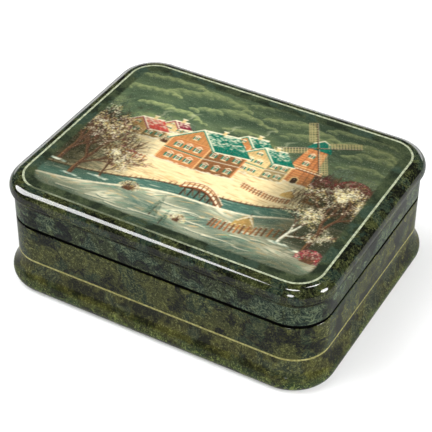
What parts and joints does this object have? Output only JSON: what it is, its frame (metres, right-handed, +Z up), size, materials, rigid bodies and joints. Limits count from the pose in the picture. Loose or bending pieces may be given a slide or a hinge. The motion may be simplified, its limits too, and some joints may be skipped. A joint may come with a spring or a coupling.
{
  "type": "lacquer box",
  "caption": "Low rectangular lacquered papier-mache casket with rounded corners, flared plinth and a domed-edge lid on a back barrel hinge.",
  "frame": {"origin": "middle of the underside, on the table", "axes": "+X along the long side, -Y is the front long side, +Y the hinge side, +Z up"},
  "size_m": [0.148, 0.1164, 0.0508],
  "materials": {
    "green_lacquer": "gloss, marbled olive and blue-green on black",
    "red_lacquer": "gloss",
    "gold_line": "satin, under clear lacquer",
    "picture": "gloss, painted landscape under clear lacquer",
    "brass": "satin"
  },
  "bodies": {
    "box": {"floor_board": "red_lacquer", "box_wall": "green_lacquer", "plinth_band": "green_lacquer", "plinth_gold_line": "gold_line", "lip_sleeve": "red_lacquer", "hinge_leaf_box": "brass", "hinge_pin": "brass", "hinge_rivets_box": "brass"},
    "lid": {"lid_wall": "green_lacquer", "nosing_band": "green_lacquer", "lid_board": "green_lacquer", "lid_gold_line": "gold_line", "picture_field": "picture", "hinge_leaf_lid": "brass", "hinge_rivets_lid": "brass"}
  },
  "joints": [
    {"name": "lid_hinge", "type": "hinge", "parent": "box", "child": "lid", "pos_m": [0, 0.05425, 0.0319], "axis": [-1, 0, 0], "range_deg": [0, 100]}
  ]
}
